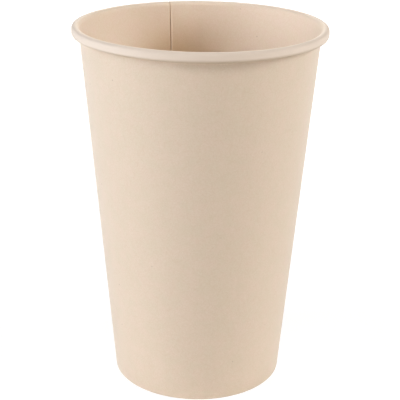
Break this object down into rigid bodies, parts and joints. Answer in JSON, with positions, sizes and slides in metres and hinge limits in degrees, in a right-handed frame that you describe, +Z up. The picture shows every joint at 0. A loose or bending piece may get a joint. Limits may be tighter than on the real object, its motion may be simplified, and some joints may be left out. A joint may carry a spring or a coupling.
{
  "type": "paper cup",
  "caption": "Tall tapered paper cup for milkshakes, with a rolled rim, a lapped side seam and a recessed bottom disc folded into its foot.",
  "frame": {"origin": "middle of the foot's ring, on the table", "axes": "+Z up along the cup's axis towards the mouth, +Y to the back, where the lap seam is"},
  "size_m": [0.0898, 0.0899, 0.132],
  "materials": {
    "paperboard": "matte",
    "lining": "satin"
  },
  "bodies": {
    "root": {"side_wall": "paperboard", "wall_lining": "lining", "bottom_disc": "paperboard", "bottom_lining": "lining"}
  },
  "joints": []
}
